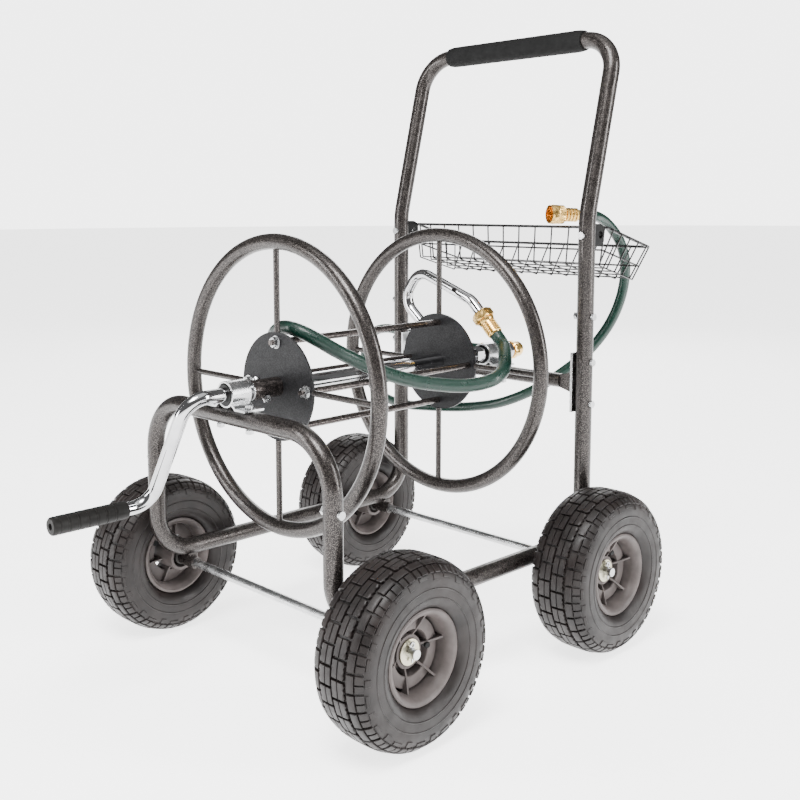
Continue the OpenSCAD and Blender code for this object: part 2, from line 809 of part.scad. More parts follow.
// Crimped ferrule, hex and male hose thread on the drum hose's free end
module drum_hose_end() {
    last = len(drum_route) - 1;
    d = heading(drum_route, last);
    color(brass) at(drum_route[last], d) {
        cylinder(h = ferrule_len, r = drum_hose_r + 2);
        translate([0, 0, ferrule_len]) cylinder(h = 7, r = 14.5, $fn = 6);
        translate([0, 0, ferrule_len + 7]) difference() {
            cylinder(h = 14, r = thread_r);
            cylinder(h = 40, r = 8, center = true);
        }
    }
}

// Standing half: held by the rear bearing and the leader hose
module swivel_body() {
    color(chrome) difference() {
        union() {
            translate([swivel_x, 0, reel_z]) rotate([0, 90, 0]) cylinder(h = swivel_l, r = 14);
            translate([bar_x + strap_w / 2 + 1, 0, reel_z]) rotate([0, 90, 0]) cylinder(h = 3, r = 12);
            translate([inlet_x, 0, reel_z]) rotate([-90, 0, 0]) cylinder(h = inlet_l - 24, r = 12);
        }
        translate([bar_x, 0, reel_z]) rotate([0, 90, 0])
            cylinder(h = swivel_x + 14 - bar_x, r = shaft_r + run_gap);
    }
}

module inlet_plug() {
    color(brass) translate([swivel_x + swivel_l, 0, reel_z]) rotate([0, 90, 0]) {
        cylinder(h = 5, r = 11);
        translate([0, 0, 5]) cylinder(h = 22, r = 15.5, $fn = 6);
    }
}

// ---- Leader hose ----

module leader_hose() {
    color(hose_green) hose(leader_route, leader_r);
}

tail_dir = heading(leader_route, len(leader_route) - 1);
tail_end = leader_route[len(leader_route) - 1];

// Ferrules at both ends; the tap end has a stem that holds the turning nut
module leader_tail() {
    color(brass) {
        translate([inlet_x, inlet_l - 24, reel_z]) rotate([-90, 0, 0]) cylinder(h = 24, r = leader_r + 2);
        at(tail_end, tail_dir) {
            cylinder(h = ferrule_len, r = leader_r + 2.5);
            translate([0, 0, ferrule_len]) cylinder(h = 6, r = 7);
            translate([0, 0, ferrule_len + 6]) cylinder(h = 2, r = 10);
        }
    }
}

module leader_nut() {
    color(brass) at(tail_end + tail_dir * (ferrule_len + part_gap), tail_dir) difference() {
        cylinder(h = 24, r = 15.5);
        translate([0, 0, -1]) cylinder(h = 30, r = 7 + run_gap);
        translate([0, 0, 5]) cylinder(h = 30, r = 10 + part_gap);
        translate([0, 0, 8.2]) cylinder(h = 30, r = thread_r);
    }
}

// ---- Wheels ----

// fx is -1 at the front, fy is -1 on the left; local +Z points out of the cart
module wheel_place(fx, fy) {
    translate([fx * axle_x, fy * wheel_y, axle_z]) rotate([fy > 0 ? -90 : 90, 0, 0]) children();
}

function sgn_pow(v, e) = sign(v) * pow(abs(v), e);

module tyre() {
    squareness = 0.6;
    h = (tyre_r - bead_r) / 2;
    color(rubber) rotate_extrude() intersection() {
        polygon([for (a = [5 : 10 : 355])
            [tyre_r - h + h * sgn_pow(sin(a), squareness), tyre_w / 2 * sgn_pow(cos(a), squareness)]]);
        translate([bead_r + seat_gap, -tyre_w]) square([tyre_r, 2 * tyre_w]);
    }
}

// Dished rim: barrel with two lips, a web near the outer side, ribs and a hub
module rim() {
    lip_z = tyre_w / 2 - 13;
    web_z = -6;
    hub_out_z = hub_out - wheel_y;
    hub_in_z = hub_in - wheel_y;
    color(rim_grey) difference() {
        union() {
            rotate_extrude() {
                translate([bead_r - barrel_t, -lip_z]) square([barrel_t, 2 * lip_z]);
                translate([hub_r - 1, web_z]) square([bead_r - hub_r - 1, web_t]);
                translate([bush_r, hub_in_z]) square([hub_r - bush_r, hub_out_z - hub_in_z]);
            }
            for (i = [0 : rim_ribs - 1]) rotate([0, 0, i * 360 / rim_ribs + 15])
                translate([hub_r - 1, -2, web_z + 1]) cube([bead_r - barrel_t - hub_r + 2, 4, 14]);
        }
        for (i = [0 : rim_ribs - 1]) rotate([0, 0, (i + 0.5) * 360 / rim_ribs + 15])
            translate([(hub_r + bead_r) / 2 - 2, 0, web_z - 1]) cylinder(h = web_t + 2, r = 7);
    }
}

// Pair of plain bushes pressed into the hub
module bush() {
    color(black) for (z = [hub_in - wheel_y, hub_out - wheel_y - bush_l]) translate([0, 0, z])
        linear_extrude(bush_l) section(bush_r - 0.02, axle_r + run_gap);
}

module tyre_front_left() { wheel_place(-1, -1) tyre(); }
module tyre_front_right() { wheel_place(-1, 1) tyre(); }
module tyre_rear_left() { wheel_place(1, -1) tyre(); }
module tyre_rear_right() { wheel_place(1, 1) tyre(); }
module rim_front_left() { wheel_place(-1, -1) rim(); }
module rim_front_right() { wheel_place(-1, 1) rim(); }
module rim_rear_left() { wheel_place(1, -1) rim(); }
module rim_rear_right() { wheel_place(1, 1) rim(); }
module bush_front_left() { wheel_place(-1, -1) bush(); }
module bush_front_right() { wheel_place(-1, 1) bush(); }
module bush_rear_left() { wheel_place(1, -1) bush(); }
module bush_rear_right() { wheel_place(1, 1) bush(); }

front_arch();
side_frame(-1);  // side_frame_left
side_frame(1);  // side_frame_right
handle_tube();
handle_grip();
arch_bolts();
handle_bolts();
rear_crossbar();
crossbar_brackets();
bracket_bolts();
axle_sleeves();
axle(-axle_x);  // front_axle
axle(axle_x);  // rear_axle
axle_washers();
cotter_pins();
front_bearing_strap();
front_bearing_bush();
rear_bearing_strap();
rear_bearing_bush();
strap_screws();
basket();
basket_clips();
basket_bolts();
front_ring();
rear_ring();
front_disc();
rear_disc();
core_tube();
tie_rods();
tie_rod_nuts();
hub_tube();
crank_arm();
crank_bolt();
snap_ring();
crank_grip();
grip_screw();
swivel_rotor();
swivel_nut();
gooseneck();
outlet_nut();
outlet_ferrule();
drum_hose();
drum_hose_end();
swivel_body();
inlet_plug();
leader_hose();
leader_tail();
leader_nut();
tyre_front_left();
tyre_front_right();
tyre_rear_left();
tyre_rear_right();
rim_front_left();
rim_front_right();
rim_rear_left();
rim_rear_right();
bush_front_left();
bush_front_right();
bush_rear_left();
bush_rear_right();
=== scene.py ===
"""Looks of a four-wheeled garden hose reel cart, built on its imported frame.

Lengths are millimetres in the shape code and are scaled to metres where a piece is made.
Axes: -X front (crank), +X rear (handle), -Y left, +Y right, +Z up, floor at 0.
"""

import json
import math

import bmesh
import bpy
from mathutils import Matrix, Vector


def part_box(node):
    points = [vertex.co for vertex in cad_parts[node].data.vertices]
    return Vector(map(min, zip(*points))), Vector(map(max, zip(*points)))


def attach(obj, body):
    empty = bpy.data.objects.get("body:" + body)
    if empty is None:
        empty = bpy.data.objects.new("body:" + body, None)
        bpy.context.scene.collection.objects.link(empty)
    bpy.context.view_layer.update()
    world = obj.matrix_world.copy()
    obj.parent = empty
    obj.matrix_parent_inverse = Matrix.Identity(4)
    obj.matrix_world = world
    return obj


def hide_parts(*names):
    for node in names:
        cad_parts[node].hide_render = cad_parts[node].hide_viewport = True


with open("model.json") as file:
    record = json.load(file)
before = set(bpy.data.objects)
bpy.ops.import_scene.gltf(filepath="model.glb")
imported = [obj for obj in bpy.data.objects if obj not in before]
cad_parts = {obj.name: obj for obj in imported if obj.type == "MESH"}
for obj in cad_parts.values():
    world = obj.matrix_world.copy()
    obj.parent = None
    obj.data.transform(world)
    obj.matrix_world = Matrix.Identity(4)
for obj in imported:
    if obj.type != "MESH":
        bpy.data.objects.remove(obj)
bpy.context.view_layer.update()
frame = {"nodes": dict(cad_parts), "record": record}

MM = 0.001
X, Y, Z = Vector((1, 0, 0)), Vector((0, 1, 0)), Vector((0, 0, 1))
CORNERS = {
    "front_left": (-1, -1), "front_right": (-1, 1),
    "rear_left": (1, -1), "rear_right": (1, 1),
}


# ---- Camera ----

def make_camera():
    """The photographed viewpoint: position, aim and lens."""
    place = Vector((-1.11905, -1.14279, 0.67105))
    yaw, pitch, roll = (math.radians(a) for a in (47.182, -6.869, -0.342))
    ahead = Vector((math.cos(pitch) * math.cos(yaw), math.cos(pitch) * math.sin(yaw), math.sin(pitch)))
    right = ahead.cross(Z).normalized()
    up = right.cross(ahead)
    level = right * math.cos(roll) + up * math.sin(roll)
    upright = up * math.cos(roll) - right * math.sin(roll)
    camera = bpy.data.objects.new("camera", bpy.data.cameras.new("camera"))
    bpy.context.collection.objects.link(camera)
    turn = Matrix((level, upright, -ahead)).transposed().to_4x4()
    camera.matrix_world = Matrix.Translation(place) @ turn
    camera.data.sensor_width = 36
    camera.data.lens = 48.5
    camera.data.shift_x = 0.0677
    camera.data.shift_y = -0.0910
    bpy.context.scene.camera = camera


make_camera()


# ---- Materials ----

def shader(name, color, metallic=0.0, roughness=0.5, **more):
    """New material; more sets other sockets of its Principled shader by name."""
    mat = bpy.data.materials.new(name)
    mat.use_nodes = True
    bsdf = mat.node_tree.nodes["Principled BSDF"]
    bsdf.inputs["Base Color"].default_value = (*color, 1)
    bsdf.inputs["Metallic"].default_value = metallic
    bsdf.inputs["Roughness"].default_value = roughness
    for key, value in more.items():
        bsdf.inputs[key.replace("_", " ")].default_value = value
    return mat


def add(mat, kind, **inputs):
    """New node with its input sockets set by name, spaces written as underscores."""
    node = mat.node_tree.nodes.new("ShaderNode" + kind)
    for key, value in inputs.items():
        node.inputs[key.replace("_", " ")].default_value = value
    return node


def join(mat, source, target):
    mat.node_tree.links.new(source, target)


def bsdf_of(mat):
    return mat.node_tree.nodes["Principled BSDF"]


def place_vector(mat, kind="Object"):
    return add(mat, "TexCoord").outputs[kind]


def noise(mat, scale, detail=3.0):
    node = add(mat, "TexNoise", Scale=scale, Detail=detail)
    join(mat, place_vector(mat), node.inputs["Vector"])
    return node.outputs["Fac"]


def cells(mat, scale):
    node = add(mat, "TexVoronoi", Scale=scale)
    join(mat, place_vector(mat), node.inputs["Vector"])
    return node.outputs["Distance"]


def ramp(mat, value, *stops):
    """Colour ramp over (position, colour) stops."""
    node = mat.node_tree.nodes.new("ShaderNodeValToRGB")
    line = node.color_ramp
    while len(line.elements) < len(stops):
        line.elements.new(0.5)
    for element, (position, color) in zip(line.elements, stops):
        element.position = position
        element.color = (*color, 1)
    join(mat, value, node.inputs["Fac"])
    return node.outputs["Color"]


def spread(mat, value, low, high):
    """Stretches the middle of a noise value over low to high."""
    node = add(mat, "MapRange", From_Min=0.3, From_Max=0.7, To_Min=low, To_Max=high)
    join(mat, value, node.inputs["Value"])
    return node.outputs["Result"]


def bump(mat, value, strength, distance):
    node = add(mat, "Bump", Strength=strength, Distance=distance)
    join(mat, value, node.inputs["Height"])
    join(mat, node.outputs["Normal"], bsdf_of(mat).inputs["Normal"])


def color_by(mat, value):
    join(mat, value, bsdf_of(mat).inputs["Base Color"])


def rough_by(mat, value):
    join(mat, value, bsdf_of(mat).inputs["Roughness"])


def hammered(name, dark, mid, light, scale=520, metallic=0.7, roughness=0.3, gloss=0.5, coat=0.2):
    """Hammertone enamel: pale flecks swimming in a darker metallic ground."""
    mat = shader(name, mid, metallic, roughness, Specular_IOR_Level=gloss, Coat_Weight=coat,
                 Coat_Roughness=0.14)
    grain = cells(mat, scale)
    color_by(mat, ramp(mat, grain, (0.05, light), (0.38, mid), (0.75, dark)))
    rough_by(mat, spread(mat, noise(mat, 90), roughness - 0.05, roughness + 0.1))
    bump(mat, grain, 0.22, 0.0003)
    return mat


def plated(name, color, roughness, haze=0.08, brushed=0.0):
    """Bright plating with faint clouding, and fine scratches where brushed."""
    mat = shader(name, color, 1.0, roughness)
    rough_by(mat, spread(mat, noise(mat, 60, 5), roughness, roughness + haze))
    pale = tuple(min(1, c * 1.06) for c in color)
    dull = tuple(c * 0.86 for c in color)
    color_by(mat, ramp(mat, noise(mat, 35), (0.35, dull), (0.65, pale)))
    bump(mat, noise(mat, 900 if brushed else 25, 4), 0.05 + brushed, 0.0002)
    return mat


def moulded(name, color, roughness=0.5, grain=900, depth=0.15):
    """Moulded plastic or rubber with a fine skin and slightly uneven colour."""
    mat = shader(name, color, 0.0, roughness, Specular_IOR_Level=0.15)
    pale = tuple(c * 1.3 for c in color)
    dark = tuple(c * 0.75 for c in color)
    color_by(mat, ramp(mat, noise(mat, 40, 6), (0.3, dark), (0.7, pale)))
    rough_by(mat, spread(mat, noise(mat, 120), roughness - 0.06, roughness + 0.08))
    bump(mat, noise(mat, grain, 2), depth, 0.0004)
    return mat


def hose_skin(name, dark, light, braid_strength):
    """Glossy hose with the reinforcing braid showing through, laid out by the tube's own UVs."""
    mat = shader(name, dark, 0.0, 0.3, Specular_IOR_Level=0.35, Coat_Weight=0.15, Coat_Roughness=0.08)
    uv = place_vector(mat, "UV")
    waves = []
    for tilt in (1, -1):
        turned = add(mat, "Mapping", Rotation=(0, 0, tilt * math.radians(52)), Scale=(60, 1100, 1))
        join(mat, uv, turned.inputs["Vector"])
        wave = add(mat, "TexWave", Scale=0.32, Distortion=0.3)
        join(mat, turned.outputs["Vector"], wave.inputs["Vector"])
        waves.append(wave.outputs["Fac"])
    both = add(mat, "Math")
    both.operation = "MULTIPLY"
    join(mat, waves[0], both.inputs[0])
    join(mat, waves[1], both.inputs[1])
    color_by(mat, ramp(mat, both.outputs["Value"], (0.1, dark), (0.9, light)))
    rough_by(mat, spread(mat, noise(mat, 70), 0.24, 0.38))
    bump(mat, both.outputs["Value"], braid_strength, 0.0003)
    return mat


def tyre_rubber():
    """Brown-black rubber with a blotchy tone, uneven roughness and a fine grain."""
    mat = shader("tyre_rubber", (0.008, 0.0058, 0.0053), 0.0, 0.5, Specular_IOR_Level=0.3)
    soft = noise(mat, 28, 6)
    color_by(mat, ramp(mat, soft, (0.3, (0.0042, 0.0028, 0.0025)), (0.7, (0.0125, 0.0088, 0.008))))
    rough_by(mat, spread(mat, noise(mat, 65, 4), 0.38, 0.58))
    bump(mat, noise(mat, 700, 3), 0.18, 0.0005)
    return mat


def floor_paint():
    """Pale paint that glows a little, as an evenly lit sweep does."""
    mat = shader("floor", (0.93, 0.93, 0.93), 0.0, 0.9, Emission_Color=(1, 1, 1, 1), Emission_Strength=2.7)
    color_by(mat, ramp(mat, noise(mat, 1.5), (0.3, (0.92, 0.92, 0.92)), (0.7, (0.94, 0.94, 0.94))))
    return mat


HAMMERTONE = hammered("hammertone", (0.009, 0.0074, 0.0068), (0.033, 0.0275, 0.0255), (0.19, 0.172, 0.16),
                      scale=760)
CHARCOAL = hammered("charcoal", (0.004, 0.004, 0.0045), (0.011, 0.011, 0.012), (0.03, 0.03, 0.032),
                    scale=640, metallic=0.3, roughness=0.42, gloss=0.2, coat=0.02)
BRONZE_ROD = hammered("rod_enamel", (0.04, 0.034, 0.032), (0.1, 0.085, 0.08), (0.19, 0.165, 0.155),
                      scale=300, metallic=0.85, roughness=0.16)
ZINC = plated("zinc", (0.5, 0.505, 0.51), 0.2, 0.12, 0.05)
YELLOW_ZINC = plated("yellow_zinc", (0.5, 0.475, 0.36), 0.28, 0.12, 0.05)
CHROME = plated("chrome", (0.5, 0.5, 0.51), 0.06, 0.05)
BRASS = plated("brass", (0.8, 0.52, 0.17), 0.22, 0.08, 0.01)
HOSE = hose_skin("drum_hose_skin", (0.0006, 0.0125, 0.0075), (0.003, 0.036, 0.023), 0.4)
LEADER = hose_skin("leader_hose_skin", (0.001, 0.016, 0.01), (0.003, 0.028, 0.018), 0.12)
FOAM = moulded("foam", (0.005, 0.005, 0.005), 0.8, 1400, 0.6)
GRIP = moulded("grip_plastic", (0.006, 0.0055, 0.005), 0.5)
CLIP = moulded("clip_nylon", (0.005, 0.005, 0.005), 0.35)
WIRE = hammered("wire_enamel", (0.004, 0.004, 0.004), (0.012, 0.012, 0.012), (0.03, 0.03, 0.03),
                scale=300, metallic=0.6, roughness=0.3)
RIM = moulded("rim_plastic", (0.085, 0.073, 0.07), 0.42, 600, 0.08)
BUSH = moulded("bush_nylon", (0.045, 0.043, 0.041), 0.45)
TYRE = tyre_rubber()
VALVE = moulded("valve_rubber", (0.005, 0.005, 0.005), 0.45)

# Record slot of each material
SLOTS = {
    HAMMERTONE: "hammertone", CHARCOAL: "charcoal", BRONZE_ROD: "rod_bronze", ZINC: "zinc",
    YELLOW_ZINC: "washer_zinc", CHROME: "chrome", BRASS: "brass", HOSE: "hose_green",
    LEADER: "leader_green", FOAM: "foam", GRIP: "grip_black", CLIP: "clip_black",
    WIRE: "wire_dark", RIM: "rim_grey", BUSH: "bush_grey", TYRE: "tyre", VALVE: "grip_black",
}


# ---- Shape helpers ----

def piece(name, bm, mat, body, *replaced, sharp=32):
    """Turns a bmesh in millimetres into a piece that rides on a body."""
    mesh = bpy.data.meshes.new(name)
    bm.to_mesh(mesh)
    bm.free()
    mesh.transform(Matrix.Scale(MM, 4))
    mesh.polygons.foreach_set("use_smooth", [True] * len(mesh.polygons))
    mesh.set_sharp_from_angle(angle=math.radians(sharp))
    mesh.materials.append(mat)
    obj = bpy.data.objects.new(name, mesh)
    bpy.context.collection.objects.link(obj)
    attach(obj, body)
    if replaced:
        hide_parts(*replaced)
    return obj


def facing(point, direction, spin=0.0):
    """Matrix that puts local +Z along direction at point."""
    turn = direction.normalized().to_track_quat("Z", "Y").to_matrix().to_4x4()
    return Matrix.Translation(point) @ turn @ Matrix.Rotation(math.radians(spin), 4, "Z")


def bridge(bm, low, high, closed=True):
    """Quads between two rows of vertices."""
    count = len(low)
    faces = []
    for k in range(count if closed else count - 1):
        j = (k + 1) % count
        faces.append(bm.faces.new((low[k], low[j], high[j], high[k])))
    return faces


def lathe(bm, profile, place=Matrix(), steps=48, closed=False):
    """Revolves (radius, height) points about local Z; a radius of 0 closes on the axis."""
    rows = []
    for r, z in profile:
        if r == 0:
            rows.append([bm.verts.new(place @ Vector((0, 0, z)))])
            continue
        rows.append([
            bm.verts.new(place @ Vector((r * math.cos(a), r * math.sin(a), z)))
            for a in (2 * math.pi * k / steps for k in range(steps))
        ])
    pairs = list(zip(rows, rows[1:]))
    if closed:
        pairs.append((rows[-1], rows[0]))
    for low, high in pairs:
        if len(low) > 1 and len(high) > 1:
            bridge(bm, low, high)
        else:
            tip, ring = (low[0], high) if len(low) == 1 else (high[0], low)
            for k in range(steps):
                trio = (tip, ring[k], ring[(k + 1) % steps])
                bm.faces.new(trio if len(low) > 1 else trio[::-1])


def nut(bm, across, low, high, place=Matrix(), hole=0.0):
    """Hexagonal prism with the turned-down corners of a nut; across is its radius to a corner."""
    steps = 48
    step_angle = math.pi / 3

    def reach(k):
        a = (2 * math.pi * k / steps) % step_angle - step_angle / 2
        return across * math.cos(step_angle / 2) / math.cos(a)

    cut = across * 0.075
    flat = across * math.cos(step_angle / 2)
    levels = [(low, hole), (low, flat * 0.97), (low + cut, None), (high - cut, None),
              (high, flat * 0.97), (high, hole)]
    rows = []
    for z, r in levels:
        row = []
        for k in range(steps):
            a = 2 * math.pi * k / steps
            dip = cut * (reach(k) - flat) / (across - flat)
            rise = z if r is not None else (z + dip * 0.6 if z < (low + high) / 2 else z - dip * 0.6)
            radius = reach(k) if r is None else max(r, 0.01)
            row.append(bm.verts.new(place @ Vector((radius * math.cos(a), radius * math.sin(a), rise))))
        rows.append(row)
    for lower, upper in zip(rows, rows[1:]):
        bridge(bm, lower, upper)
    if hole:
        bridge(bm, rows[-1], rows[0])


def headings(points, closed=False):
    """Unit direction of the path at each of its points."""
    count = len(points)
    result = []
    for i in range(count):
        before = points[i - 1] if i > 0 or closed else points[i]
        after = points[(i + 1) % count] if i < count - 1 or closed else points[i]
        result.append((after - before).normalized())
    return result


def tube(bm, points, radius, sides=12, closed=False, uv=None):
    """Tube swept along points without twist; radius is a number or a function of the index."""
    size = radius if callable(radius) else lambda i: radius
    ahead = headings(points, closed)
    side = ahead[0].orthogonal().normalized()
    rows = []
    for i, (point, t) in enumerate(zip(points, ahead)):
        side = (side - t * side.dot(t)).normalized()
        other = t.cross(side)
        rows.append([
            bm.verts.new(point + size(i) * (side * math.cos(a) + other * math.sin(a)))
            for a in (2 * math.pi * k / sides for k in range(sides))
        ])
    along = [0.0]
    for a, b in zip(points, points[1:]):
        along.append(along[-1] + (b - a).length)
    pairs = list(zip(rows, rows[1:]))
    for i, (low, high) in enumerate(pairs):
        for k, face in enumerate(bridge(bm, low, high)):
            if uv is not None:
                spots = ((k, i), (k + 1, i), (k + 1, i + 1), (k, i + 1))
                for loop, (u, v) in zip(face.loops, spots):
                    loop[uv].uv = (u / sides, along[v] * MM)
    if closed:
        shift = min(range(sides), key=lambda s: (rows[0][s].co - rows[-1][0].co).length)
        bridge(bm, rows[-1], rows[0][shift:] + rows[0][:shift])
    else:
        bm.faces.new(rows[0][::-1])
        bm.faces.new(rows[-1])


def smooth_path(route, steps=6):
    """Points along a smooth curve through every point of a route."""
    ends = [2 * route[0] - route[1]] + route + [2 * route[-1] - route[-2]]
    result = []
    for i in range(1, len(ends) - 2):
        p0, p1, p2, p3 = ends[i - 1:i + 3]
        for k in range(steps):
            t = k / steps
            result.append(0.5 * (
                2 * p1 + (p2 - p0) * t + (2 * p0 - 5 * p1 + 4 * p2 - p3) * t * t
                + (3 * p1 - p0 - 3 * p2 + p3) * t ** 3
            ))
    return result + [route[-1]]


def rounded(corners, bend, closed=False, steps=5):
    """Polyline with its corners rounded to a bend radius."""
    count = len(corners)
    points = []
    for i, corner in enumerate(corners):
        if not closed and i in (0, count - 1):
            points.append(corner)
            continue
        back = (corners[i - 1] - corner).normalized()
        on = (corners[(i + 1) % count] - corner).normalized()
        half = back.angle(on) / 2
        reach = bend / math.tan(half)
        centre = corner + (back + on).normalized() * bend / math.sin(half)
        start, end = corner + back * reach - centre, corner + on * reach - centre
        for k in range(steps + 1):
            points.append(centre + start.slerp(end, k / steps))
    return points


# ---- Hoses ----

DRUM_R = 10
LEADER_R = 8.5
DRUM_ROUTE = [
    (170, -92, 460), (170, -100, 452), (165, -110, 445), (155, -121, 440), (141, -133, 434),
    (124, -147, 425), (106, -156, 416), (84, -158, 408), (60, -149, 403), (36, -136, 402),
    (10, -120, 405), (-16, -105, 410), (-42, -90, 418), (-70, -75, 430), (-98, -61, 445),
    (-124, -50, 460), (-146, -35, 476), (-160, -13, 488), (-164, 14, 491), (-158, 40, 483),
    (-146, 62, 470), (-132, 82, 457),
]
LEADER_ROUTE = [
    (298, 46, 412), (298, 80, 412), (298, 120, 413), (298, 160, 416), (298, 200, 420),
    (299, 240, 425), (301, 275, 427), (303, 310, 418), (306, 335, 392), (309, 345, 357),
    (312, 335, 322), (315, 310, 297), (318, 275, 286), (320, 235, 284), (322, 195, 287),
    (324, 155, 291), (327, 115, 296), (331, 75, 303), (336, 35, 313), (345, -5, 330),
    (357, -42, 352), (374, -72, 377), (395, -98, 405), (415, -116, 435), (432, -128, 467),
    (443, -136, 502), (447, -140, 536), (444, -141, 565), (434, -139, 592), (417, -137, 612),
    (396, -136, 627), (372, -138, 636), (348, -140, 640), (325, -128, 641),
]


def make_hose(name, route, radius, mat, body):
    """Round hose along a smoothed route."""
    points = smooth_path([Vector(p) for p in route])
    bm = bmesh.new()
    tube(bm, points, radius, 24, uv=bm.loops.layers.uv.new("along"))
    hose = piece(name + "_skin", bm, mat, body, name)


# ---- Brass fittings ----

def barbs(radius, start, count, pitch, rise):
    """Profile of a crimped or ribbed sleeve."""
    profile = []
    for i in range(count):
        z = start + i * pitch
        profile += [(radius, z), (radius + rise, z + pitch * 0.25), (radius + rise, z + pitch * 0.7),
                    (radius, z + pitch * 0.9)]
    return profile


def make_drum_end():
    """Crimped ferrule, hex and male thread on the drum hose's free end."""
    end, before = Vector(DRUM_ROUTE[-1]), Vector(DRUM_ROUTE[-2])
    place = facing(end, end - before)
    bm = bmesh.new()
    lathe(bm, [(0, 0), (DRUM_R, 0)] + barbs(DRUM_R + 1, 1, 4, 5.5, 1) + [(DRUM_R, 24), (0, 24)], place)
    nut(bm, 14.5, 24, 31, place)
    root, crest, pitch, turns = 12.3, 13.2, 2.5, 5
    thread = [(12.2, 31)]
    for z in (31.4 + i * pitch for i in range(turns)):
        thread += [(root, z), (crest, z + 1), (root, z + 2.2)]
    lathe(bm, [(8, 31)] + thread + [(12, 45), (8, 45)], place, closed=True)
    return piece("drum_hose_fitting", bm, BRASS, "reel", "drum_hose_end")


def leader_frame():
    """Matrix at the leader hose's far end, looking along it."""
    end, before = Vector(LEADER_ROUTE[-1]), Vector(LEADER_ROUTE[-2])
    return facing(end, end - before, 10)


def make_leader_tail():
    """Ferrules at both ends of the leader hose, with the collar that holds its nut."""
    inlet = facing(Vector(LEADER_ROUTE[0]) - 24 * Y, Y)
    place = leader_frame()
    bm = bmesh.new()
    lathe(bm, [(0, 0), (12, 0), (12, 4)] + barbs(9, 5, 3, 6, 1.4) + [(LEADER_R + 0.6, 24), (0, 24)], inlet)
    lathe(bm, [(0, 0), (LEADER_R + 0.8, 0)] + barbs(LEADER_R + 1, 0.5, 4, 5.6, 1.6)
          + [(7, 24), (7, 30), (10, 30), (10, 32), (3.5, 32), (3.5, 26), (0, 26)], place)
    return piece("leader_ferrules", bm, BRASS, "frame", "leader_tail")


def make_leader_nut():
    """Turning tap nut: ribbed grip ring behind a plain collar, open at the mouth."""
    ferrule, gap = 24, 0.3
    place = leader_frame() @ Matrix.Translation((0, 0, ferrule + gap))
    bm = bmesh.new()
    ribs = 24
    steps = ribs * 4
    rows = []
    for z, r, deep in ((0.4, 13.4, 0), (1.2, 14.4, 0), (1.6, 14.9, 0.7), (10.5, 14.9, 0.7), (11, 14, 0)):
        row = []
        for k in range(steps):
            a = 2 * math.pi * k / steps
            q = r - deep * (k % 4 in (2, 3))
            row.append(bm.verts.new(place @ Vector((q * math.cos(a), q * math.sin(a), z))))
        rows.append(row)
    for low, high in zip(rows, rows[1:]):
        bridge(bm, low, high)
    lathe(bm, [(14, 10.9), (15.2, 11.5), (15.4, 13), (15.4, 21), (14.8, 22.6), (14.6, 24), (13.2, 24),
               (13.2, 8.2), (10.3, 8.2), (10.3, 5), (7.2, 5), (7.2, 0.4), (13.4, 0.4)], place, 64)
    return piece("tap_nut", bm, BRASS, "tap_nut", "leader_nut")


def make_outlet():
    """Nut on the gooseneck and the crimped ferrule that follows it."""
    low, high = (Vector(c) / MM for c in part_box("outlet_nut"))
    goose = Vector((0, -1, -1)).normalized()
    centre = (low + high) / 2
    place = facing(centre - goose * 10, goose)
    bm = bmesh.new()
    nut(bm, 17.2, 0, 14, place, 9)
    lathe(bm, [(9, 14), (12.6, 14), (13.2, 15), (12.8, 18), (11.6, 20), (9, 20)], place, closed=True)
    piece("outlet_nut_detail", bm, BRASS, "reel", "outlet_nut")
    start = centre + goose * 10.2
    end = Vector(DRUM_ROUTE[0])
    bm = bmesh.new()
    reach = (end - start).length
    lathe(bm, [(0, 0), (11, 0)] + barbs(11, 0.3, 6, (reach - 2) / 6, 1.1) + [(10.4, reach), (0, reach)],
          facing(start, end - start))
    piece("outlet_ferrule_detail", bm, BRASS, "reel", "outlet_ferrule")


def make_plug():
    """Hex plug with a knurled cap on the swivel's second port."""
    low, high = (Vector(c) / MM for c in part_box("inlet_plug"))
    place = facing(Vector((low.x, (low.y + high.y) / 2, (low.z + high.z) / 2)), X, 15)
    bm = bmesh.new()
    lathe(bm, [(0, 0), (11, 0), (11.5, 1), (11, 5.1), (0, 5.1)], place)
    nut(bm, 15.5, 5, 17, place)
    lathe(bm, [(0, 17), (13, 17), (13, 24.5), (12, 26.5), (7, 27), (6.5, 24), (0, 24)], place)
    piece("inlet_plug_detail", bm, BRASS, "frame", "inlet_plug")


# ---- Wheels ----

TREAD_TOP = 120
CROWN_R = 116
BEAD_R = 56
HALF_WIDTH = 44
SQUARENESS = 0.62
PITCHES = 30
RIDGES = (62, 74)
RIB_HALF = 1.4


def carcass_profile(steps=60):
    """Tyre section from the crown to the bead on one side, as (radius, offset) points."""
    middle = (CROWN_R + BEAD_R) / 2
    half = (CROWN_R - BEAD_R) / 2
    points = []
    for k in range(steps + 1):
        a = math.radians(90 - 165 * k / steps)
        rise = math.copysign(abs(math.sin(a)) ** SQUARENESS, a)
        points.append((middle + half * rise, HALF_WIDTH * max(0.0, math.cos(a)) ** SQUARENESS))
    return points


def carcass_point(profile, s):
    """Point and outward normal at arc length s from the crown; s < 0 is the inner side."""
    left = abs(s)
    for (r0, z0), (r1, z1) in zip(profile, profile[1:]):
        step = math.hypot(r1 - r0, z1 - z0)
        if left <= step or (r1, z1) == profile[-1]:
            t = left / step
            nr, nz = (z1 - z0) / step, -(r1 - r0) / step
            sign = 1 if s >= 0 else -1
            return r0 + (r1 - r0) * t, sign * (z0 + (z1 - z0) * t), nr, sign * nz
        left -= step


